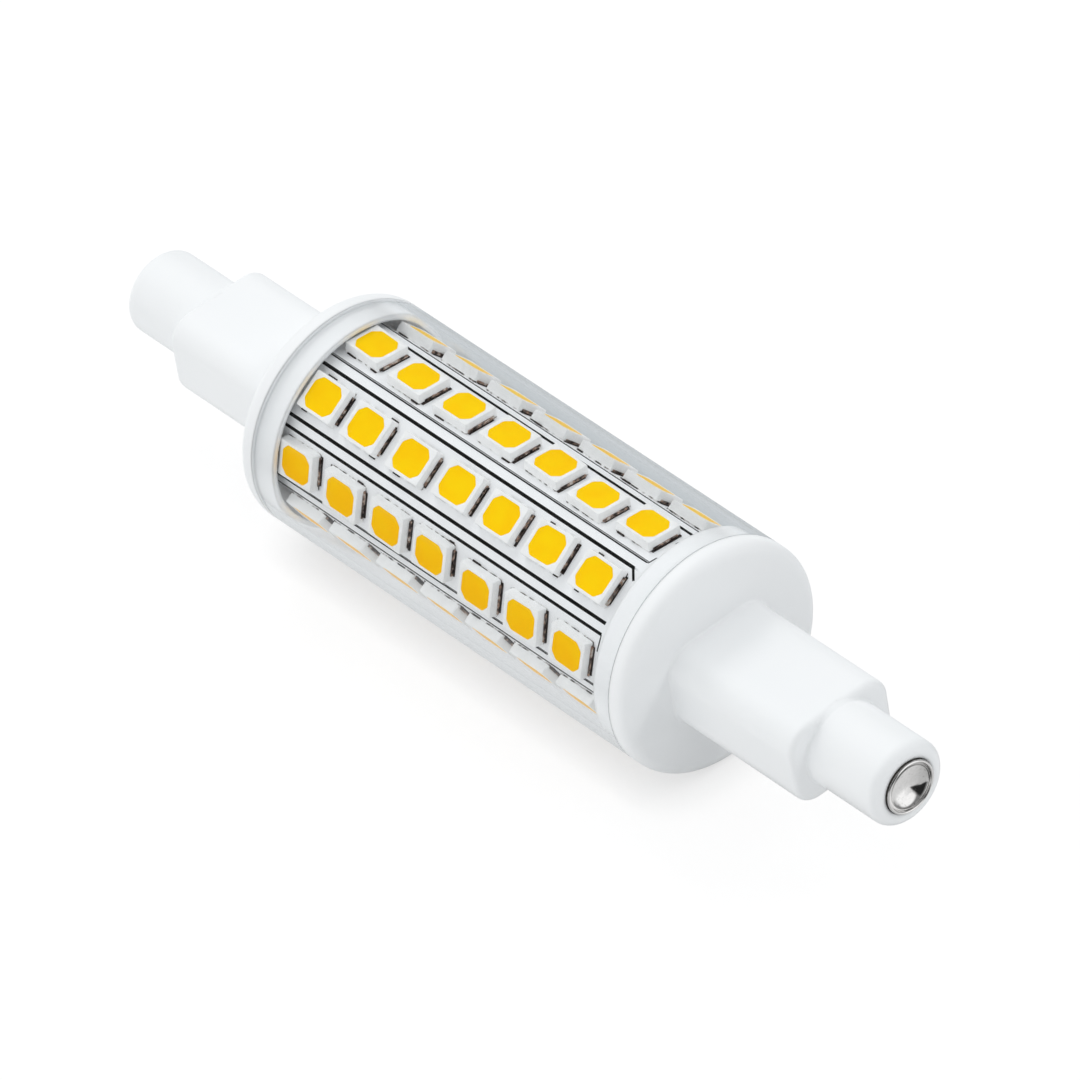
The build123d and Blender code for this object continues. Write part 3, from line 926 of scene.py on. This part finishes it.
def cover():
    """The clear cover, turned with enough segments for clean refraction, its ends ground matt and
    painted grey as shade.
    """
    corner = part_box("clear_cover")[1]
    end = corner.x / MM
    outer = corner.z / MM
    inner = outer - COVER_WALL
    profile = [
        (-end, inner),
        (-end, outer - COVER_CHAMFER),
        (-end + COVER_CHAMFER, outer),
        (end - COVER_CHAMFER, outer),
        (end, outer - COVER_CHAMFER),
        (end, inner),
    ]

    def build(bm):
        lathe(bm, profile, COVER_SEGMENTS, closed=True)

    piece = mesh_piece("cover_tube", build, MATERIALS["clear_tube"])
    second_material(piece, COVER_END, lambda face: abs(face.normal.x) > COVER_END_LEAN)
    return stands_for(piece, "clear_tube", "clear_cover")


cover()

# Contacts, with their outer side told from the rest by its share of the radius and by its normals
CONTACT_DEPTH = 2.45
CONTACT_RIM = 0.2
BOWL_DEPTH = 1.0
STEM_RADIUS = 0.9
TAIL_RADIUS = 1.4
TAIL_THICKNESS = 0.5
SOCKET_RADIUS = 0.35
SOCKET_DEPTH = 2.0
RIM_STEPS = 8
BOWL_STEPS = 24
CONTACT_SEGMENTS = 96
CONTACT_SIDE_SHARE = 0.98
CONTACT_SIDE_LEAN = 0.1


def contact_profile(tail_x, rim_x, radius):
    """Half section of the +X contact: socket, tail, stem, cup, rolled rim and hollow face."""
    seat_x = rim_x - CONTACT_DEPTH
    points = [
        (tail_x + SOCKET_DEPTH, 0),
        (tail_x + SOCKET_DEPTH, SOCKET_RADIUS),
        (tail_x, SOCKET_RADIUS),
        (tail_x, TAIL_RADIUS),
        (tail_x + TAIL_THICKNESS, TAIL_RADIUS),
        (tail_x + TAIL_THICKNESS, STEM_RADIUS),
        (seat_x, STEM_RADIUS),
        (seat_x, radius),
    ]
    roll = CONTACT_RIM / 2
    for step in range(RIM_STEPS + 1):
        turn = math.pi * step / RIM_STEPS
        points.append((rim_x - roll + roll * math.sin(turn), radius - roll + roll * math.cos(turn)))
    bowl_radius = radius - CONTACT_RIM
    bowl_depth = BOWL_DEPTH - roll
    for step in range(1, BOWL_STEPS):
        turn = math.pi / 2 * step / BOWL_STEPS
        points.append((rim_x - roll - bowl_depth * math.sin(turn), bowl_radius * math.cos(turn)))
    points.append((rim_x - BOWL_DEPTH, 0))
    return points


def contacts():
    """The two end contacts, turned fine enough for clean reflections, their sides painted near black as
    the gap's shade.
    """
    low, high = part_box("contact_right")
    profile = contact_profile(low.x / MM, high.x / MM, high.z / MM)

    def on_side(face):
        far_out = face.center.yz.length > CONTACT_SIDE_SHARE * high.z
        return far_out and abs(face.normal.x) < CONTACT_SIDE_LEAN

    for name, side in (("contact_right", 1), ("contact_left", -1)):
        sided = [(side * x, radius) for x, radius in profile]

        def build(bm):
            lathe(bm, sided, CONTACT_SEGMENTS)

        piece = mesh_piece(f"{name}_cup", build, MATERIALS["contact_metal"])
        second_material(piece, CONTACT_SIDE, on_side)
        stands_for(piece, "contact_metal", name)


contacts()

# Blends where each neck leaves its flange and each stub leaves its neck
STUB_LENGTH = 6.6
STUB_RADIUS = 3.2
NECK_LENGTH = 12.3
NECK_WIDTH = 8.8
NECK_HEIGHT = 6.6
NECK_CORNER = 1.9
NECK_CORNER_STEPS = 16
NECK_END_ROUND = 0.4
ROOT_BLEND = 0.2
STUB_BLEND = 0.18
STUB_HANDLE = 0.12
LOW_STEP = 0.2
HIGH_STEP = 0.9
BLEND_STEPS = 10
BLEND_SEGMENTS = 160
BLEND_SINK = 0.05
NEARLY_NONE = 1e-6
NECK_END_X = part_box("end_cap_right")[1].x / MM - STUB_LENGTH
FLANGE_FACE_X = NECK_END_X - NECK_LENGTH
# Turns (y, z, x) into (x, y, z)
ALONG_X = Matrix(((0, 0, 1, 0), (1, 0, 0, 0), (0, 1, 0, 0), (0, 0, 0, 1)))


def neck_ring(out, x):
    """The neck's outline, moved outwards, as a ring of (y, z, x) points."""
    width = NECK_WIDTH + 2 * out
    height = NECK_HEIGHT + 2 * out
    return rounded_ring(width, height, NECK_CORNER + out, x, NECK_CORNER_STEPS)


def root_rings():
    """Concave fillet round the neck's foot on the flange, sunk a little into both."""
    rings = [neck_ring(0.0, FLANGE_FACE_X - BLEND_SINK)]
    for step in range(BLEND_STEPS + 1):
        turn = math.pi / 2 * step / BLEND_STEPS
        out = ROOT_BLEND * (1 - math.sin(turn))
        rings.append(neck_ring(out, FLANGE_FACE_X + ROOT_BLEND * (1 - math.cos(turn))))
    rings.append(neck_ring(-BLEND_SINK, FLANGE_FACE_X + ROOT_BLEND))
    return rings


def neck_reach(turn):
    """Distance from the axis to the neck's outline in a direction round the axis."""
    across = abs(math.cos(turn))
    up = abs(math.sin(turn))
    reach = min(NECK_WIDTH / 2 / max(across, NEARLY_NONE), NECK_HEIGHT / 2 / max(up, NEARLY_NONE))
    centre_y = NECK_WIDTH / 2 - NECK_CORNER
    centre_z = NECK_HEIGHT / 2 - NECK_CORNER
    if reach * across > centre_y and reach * up > centre_z:
        nearest = centre_y * across + centre_z * up
        rest = nearest**2 - centre_y**2 - centre_z**2 + NECK_CORNER**2
        reach = nearest + math.sqrt(rest)
    return reach


def stub_section(turn):
    """Section of the blend at a turn: (x, radius) points, flush where the step is low."""
    neck = neck_reach(turn)
    share = min(max((neck - STUB_RADIUS - LOW_STEP) / (HIGH_STEP - LOW_STEP), 0.0), 1.0)
    share = share * share * (3 - 2 * share)
    flush = Vector((NECK_END_X - NECK_END_ROUND, neck))
    on_face = Vector((NECK_END_X, STUB_RADIUS + STUB_BLEND))
    start = flush.lerp(on_face, share)
    leaving = Vector((1, 0)).lerp(Vector((0, -1)), share).normalized()
    end = Vector((NECK_END_X + STUB_BLEND, STUB_RADIUS))
    first = start + leaving * STUB_HANDLE
    second = end - Vector((STUB_HANDLE, 0))
    sunk = STUB_RADIUS - BLEND_SINK
    points = [Vector((end.x, sunk)), Vector((start.x - BLEND_SINK, sunk))]
    for step in range(BLEND_STEPS + 1):
        t = step / BLEND_STEPS
        u = 1 - t
        points.append(u**3 * start + 3 * u * u * t * first + 3 * u * t * t * second + t**3 * end)
    return points


def stub_rings():
    """Blend from the neck's end to the stub, as rings of (y, z, x) points."""
    turns = [2 * math.pi * step / BLEND_SEGMENTS for step in range(BLEND_SEGMENTS)]
    sections = [stub_section(turn) for turn in turns]
    rings = []
    for points in zip(*sections):
        ring = [(p.y * math.cos(turn), p.y * math.sin(turn), p.x) for p, turn in zip(points, turns)]
        rings.append(ring)
    return rings


def cap_blends():
    """Both blends of both caps."""
    for name, side in (("right", 1), ("left", -1)):
        place = Matrix.Scale(side, 4, (1, 0, 0)) @ ALONG_X
        for part, rings in (("root", root_rings()), ("stub", stub_rings())):
            piece = mesh_piece(f"{part}_blend_{name}", lambda bm: hoop(bm, rings, place), CAP_BLEND)
            stands_for(piece, "white_cap")


cap_blends()


def grey(level):
    """A colour without a hue."""
    return (level, level, level)


# Floor, in metres: as lit, and as the camera sees it with a contact shadow close to the lamp
FLOOR_HALF = 3.0
FLOOR_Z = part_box("clear_cover")[0].z
FLOOR_ROUGHNESS = 0.9
FLOOR_LEVEL = 0.82
SEEN_FLOOR_LEVEL = 0.16
SEEN_FLOOR_GLOW = 0.86
CONTACT_SHADOW_REACH = 3.4 * MM
CONTACT_SHADOW_DEPTH = 0.3

# Floor as seen through the clear cover, in front of the lamp and behind it
THROUGH_FRONT = (0.78, 0.79, 0.8)
THROUGH_BEHIND = (0.44, 0.48, 0.5)
THROUGH_SPLIT = (2 * MM, 8 * MM)

# Floor as reflections see it: cards by turn about the right contact's foot (0 at -X, 0.25 at -Y,
# 0.5 at +X, 0.75 at +Y), near the foot and far from it, and a dark card in front of the lamp
NEAR_CARDS = (
    (0.0, grey(0.06)),
    (0.1, grey(0.3)),
    (0.3, grey(0.42)),
    (0.45, grey(0.52)),
    (0.58, grey(0.66)),
    (0.66, grey(0.7)),
    (0.72, grey(0.66)),
    (0.8, grey(0.5)),
    (0.86, grey(0.2)),
    (0.92, grey(0.06)),
)
FAR_CARDS = (
    (0.0, (0.78, 0.8, 0.81)),
    (0.25, grey(0.5)),
    (0.45, grey(0.5)),
    (0.55, grey(0.8)),
    (0.585, grey(1.0)),
    (0.64, grey(1.0)),
    (0.68, grey(0.5)),
    (0.71, grey(0.15)),
    (0.8, grey(0.12)),
    (0.84, (0.64, 0.67, 0.69)),
    (0.97, (0.64, 0.67, 0.69)),
)
NEAR_TO = 15 * MM
FAR_FROM = 29 * MM
CARD_EDGE = 1 * MM
FRONT_CARD = grey(0.03)
FRONT_CARD_SPLIT = (-26 * MM, -12 * MM)
FRONT_FAR = (0.15, 0.155, 0.16)
FRONT_FAR_SPLIT = (-260 * MM, -160 * MM)
FRONT_RIGHT = (0.6, 0.61, 0.62)
FRONT_RIGHT_SPLIT = (0.0, 14 * MM)

# Dark of the room to the right: beyond the table's edge, and in front of a plane through the contact
ROOM_DARK = 0.015
TABLE_EDGE_ACROSS = (1.0, 2.0, 0.0)
TABLE_EDGE_SPLIT = (34 * MM, 42 * MM)
ROOM_SIDE = (0.062, -0.898, -0.436)
ROOM_SOFTNESS = 0.08
ROOM_SPAN = (0.25, 0.5)

# Mirrored sky, by direction: dark at the left and dim at the right, a bright window, a strip low behind
# the lamp, and a pale right side for what the cover's wall mirrors
MIRRORED_DARK = 0.02
MIRRORED_DIM = 0.2
MIRRORED_SPLIT = (-0.4, 0.1)
SKY_WINDOW_AT = (0.80, 0.48, 0.36)
SKY_WINDOW_SPLIT = (0.74, 0.93)
LOW_BEHIND_LEVEL = 0.5
LOW_BEHIND_X = (-0.3, -0.5)
LOW_BEHIND_Y = (0.2, 0.5)
LOW_BEHIND_Z = (0.14, 0.04)
IN_WALL_LEVEL = 0.6
IN_WALL_SPLIT = (0.1, 0.35)

# Light: a sky that is brighter at one side, and two soft boxes, in metres and watts
SKY_STRENGTH = 1.3
SKY_DIM = (0.302, 0.315, 0.325)
SKY_BRIGHT = (0.985, 0.995, 1.0)
BRIGHT_SIDE = (-0.76, -0.65, 0.0)
KEY_PLACE = (-0.59, 0.22, 0.78)
KEY_SIZE = 0.3
KEY_POWER = 1.6
FILL_PLACE = (0.5, 0.62, 0.6)
FILL_SIZE = 0.3
FILL_POWER = 2.1


def seen_rays(tree):
    """Factors for what the camera sees: directly, through clear plastic, and mirrored on the way.

    Each is 0 past a surface that scatters light, so the light on the object stays plain.
    """
    path = tree.nodes.new("ShaderNodeLightPath")
    scattered = between(tree, path.outputs["Diffuse Depth"], 0.0, 1.0)
    mirrored = between(tree, path.outputs["Glossy Depth"], 0.0, 1.0)
    sharp = blend(tree, scattered, path.outputs["Is Glossy Ray"], 0.0)
    return path.outputs["Is Camera Ray"], blend(tree, mirrored, sharp, 0.0), both(tree, mirrored, sharp)


def in_wall(tree):
    """1 for rays that have gone into the cover's wall and out again, 0 for others."""
    depth = tree.nodes.new("ShaderNodeLightPath").outputs["Transmission Depth"]
    return both(tree, between(tree, depth, 0.0, 1.0), between(tree, depth, 2.0, 3.0, 1.0, 0.0))


def contact_shadow(tree):
    """Brightness of the floor by how closely the lamp overhangs it."""
    node = tree.nodes.new("ShaderNodeAmbientOcclusion")
    node.samples = SHADOW_SAMPLES
    node.inputs["Distance"].default_value = CONTACT_SHADOW_REACH
    return spread(tree, node.outputs["AO"], 1.0 - CONTACT_SHADOW_DEPTH, 1.0)


def floor_cards(tree, coords):
    """What reflections see on the floor."""
    place = axes(tree, coords)
    contact_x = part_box("contact_right")[1].x
    from_contact = tree.nodes.new("ShaderNodeMapping")
    from_contact.inputs["Location"].default_value = (-contact_x, 0, 0)
    tree.links.new(coords, from_contact.inputs["Vector"])
    offset = from_contact.outputs["Vector"]
    far = between(tree, length_of(tree, offset), NEAR_TO, FAR_FROM)
    turn = turn_of(tree, offset)
    cards = tint(tree, far, ramp(tree, turn, NEAR_CARDS), ramp(tree, turn, FAR_CARDS))
    past_edge = between(tree, along(tree, offset, TABLE_EDGE_ACROSS), *TABLE_EDGE_SPLIT)
    in_room = between(tree, along(tree, offset, ROOM_SIDE), -CARD_EDGE, CARD_EDGE)
    cards = tint(tree, both(tree, past_edge, in_room), cards, grey(ROOM_DARK))
    front = tint(tree, between(tree, place["Y"], *FRONT_FAR_SPLIT), FRONT_FAR, FRONT_CARD)
    front = tint(tree, between(tree, place["X"], *FRONT_RIGHT_SPLIT), front, FRONT_RIGHT)
    near_lamp = between(tree, place["Y"], *FRONT_CARD_SPLIT)
    right = between(tree, place["X"], contact_x, contact_x + CARD_EDGE)
    return tint(tree, either(tree, near_lamp, right), front, cards)


def floor_material():
    """White paper that keeps the object's shadow; reflections and glass see cards on it instead."""
    material, tree, shader, coords = new_material("floor")
    direct, through, gloss = seen_rays(tree)
    behind = between(tree, axes(tree, coords)["Y"], *THROUGH_SPLIT)
    beyond = tint(tree, behind, THROUGH_FRONT, THROUGH_BEHIND)
    glow = tint(tree, gloss, grey(SEEN_FLOOR_GLOW), floor_cards(tree, coords))
    tree.links.new(tint(tree, through, glow, beyond), shader.inputs["Emission Color"])
    by_way = either(tree, through, gloss)
    shaded = both(tree, direct, contact_shadow(tree))
    tree.links.new(either(tree, shaded, by_way), shader.inputs["Emission Strength"])
    level = blend(tree, direct, FLOOR_LEVEL, SEEN_FLOOR_LEVEL)
    tree.links.new(blend(tree, by_way, level, 0.0), shader.inputs["Base Color"])
    shader.inputs["Roughness"].default_value = FLOOR_ROUGHNESS
    shader.inputs["Specular IOR Level"].default_value = 0.0
    return material


def floor():
    """A large square that the lamp lies on."""
    signs = ((-1, -1), (1, -1), (1, 1), (-1, 1))
    corners = [(x * FLOOR_HALF, y * FLOOR_HALF, FLOOR_Z) for x, y in signs]
    mesh = bpy.data.meshes.new("floor")
    mesh.from_pydata(corners, [], [(0, 1, 2, 3)])
    mesh.materials.append(floor_material())
    link(bpy.data.objects.new("floor", mesh))


def area_light(name, place, size, power):
    """A square soft box aimed at the lamp's middle, unseen in reflections and through the cover."""
    data = bpy.data.lights.new(name, "AREA")
    data.size = size
    data.energy = power
    light = link(bpy.data.objects.new(name, data))
    light.location = place
    light.visible_glossy = False
    light.visible_transmission = False
    light.rotation_mode = "QUATERNION"
    light.rotation_quaternion = (-Vector(place)).to_track_quat("-Z", "Y")


def mirrored_sky(tree, direction):
    """Brightness of the sky as reflections see it."""
    x, y, z = axes(tree, direction)
    level = between(tree, x, *MIRRORED_SPLIT, MIRRORED_DARK, MIRRORED_DIM)
    window = between(tree, along(tree, direction, SKY_WINDOW_AT), *SKY_WINDOW_SPLIT)
    level = blend(tree, window, level, 1.0)
    in_room = between(tree, along(tree, direction, ROOM_SIDE), -ROOM_SOFTNESS, ROOM_SOFTNESS)
    in_room = both(tree, in_room, between(tree, x, *ROOM_SPAN))
    level = blend(tree, in_room, level, ROOM_DARK)
    low_behind = both(tree, between(tree, z, *LOW_BEHIND_Z), between(tree, y, *LOW_BEHIND_Y))
    low_behind = both(tree, low_behind, between(tree, x, *LOW_BEHIND_X))
    level = blend(tree, low_behind, level, LOW_BEHIND_LEVEL)
    to_right = both(tree, in_wall(tree), between(tree, x, *IN_WALL_SPLIT))
    return blend(tree, to_right, level, IN_WALL_LEVEL)


def world():
    """Soft light, brighter from the left and front; white for the camera, and mostly dark for gloss."""
    made = bpy.data.worlds.new("studio")
    made.use_nodes = True
    tree = made.node_tree
    background = tree.nodes["Background"]
    direct, through, gloss = seen_rays(tree)
    view = either(tree, direct, through)
    direction = tree.nodes.new("ShaderNodeTexCoord").outputs["Generated"]
    turned = tree.nodes.new("ShaderNodeMapRange")
    turned.inputs["From Min"].default_value = -1.0
    tree.links.new(along(tree, direction, BRIGHT_SIDE), turned.inputs["Value"])
    soft = ramp(tree, turned.outputs["Result"], ((0.0, SKY_DIM), (1.0, SKY_BRIGHT)))
    tree.links.new(tint(tree, either(tree, view, gloss), soft, grey(1.0)), background.inputs["Color"])
    level = blend(tree, gloss, SKY_STRENGTH, mirrored_sky(tree, direction))
    tree.links.new(blend(tree, view, level, 1.0), background.inputs["Strength"])
    bpy.context.scene.world = made


def camera():
    """The photograph's view."""
    data = bpy.data.cameras.new("camera")
    data.sensor_width = SENSOR_WIDTH
    data.lens = FOCAL_LENGTH
    data.clip_end = CAMERA_REACH
    made = link(bpy.data.objects.new("camera", data))
    turn = Matrix((CAMERA_RIGHT, CAMERA_UP, CAMERA_BACK)).transposed()
    made.matrix_world = Matrix.Translation(CAMERA_PLACE) @ turn.to_4x4()
    bpy.context.scene.camera = made


floor()
world()
area_light("key", KEY_PLACE, KEY_SIZE, KEY_POWER)
area_light("fill", FILL_PLACE, FILL_SIZE, FILL_POWER)
camera()

bpy.context.scene.view_settings.view_transform = "Standard"
